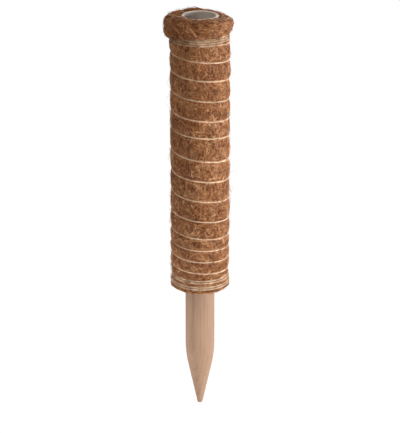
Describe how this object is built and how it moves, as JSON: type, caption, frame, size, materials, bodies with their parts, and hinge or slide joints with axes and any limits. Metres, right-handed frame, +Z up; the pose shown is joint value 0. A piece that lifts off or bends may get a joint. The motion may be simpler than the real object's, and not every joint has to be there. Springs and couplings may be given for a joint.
{
  "type": "moss pole",
  "caption": "Plant climbing pole: an open plastic tube wrapped in a coir mat bound with spiral twine, on a pointed wooden stake that pushes into potting soil.",
  "frame": {"origin": "on the pole's axis at the coir mat's foot, where the soil comes to when the stake is pushed in", "axes": "+Z up along the pole towards its open top; the stake points down along -Z; the twine's tucked ends are at the back, +Y"},
  "size_m": [0.0484, 0.0484, 0.3],
  "materials": {
    "wood": "bare turned softwood, finely sanded",
    "grey_plastic": "plain extruded plastic",
    "coir": "matted coconut fibre",
    "twine": "pale twisted twine",
    "steel": "bright wire nail"
  },
  "bodies": {
    "root": {"stake": "wood", "core_tube": "grey_plastic", "coir_mat": "coir", "twine": "twine", "stake_nail_right": "steel", "stake_nail_left": "steel"}
  },
  "joints": []
}
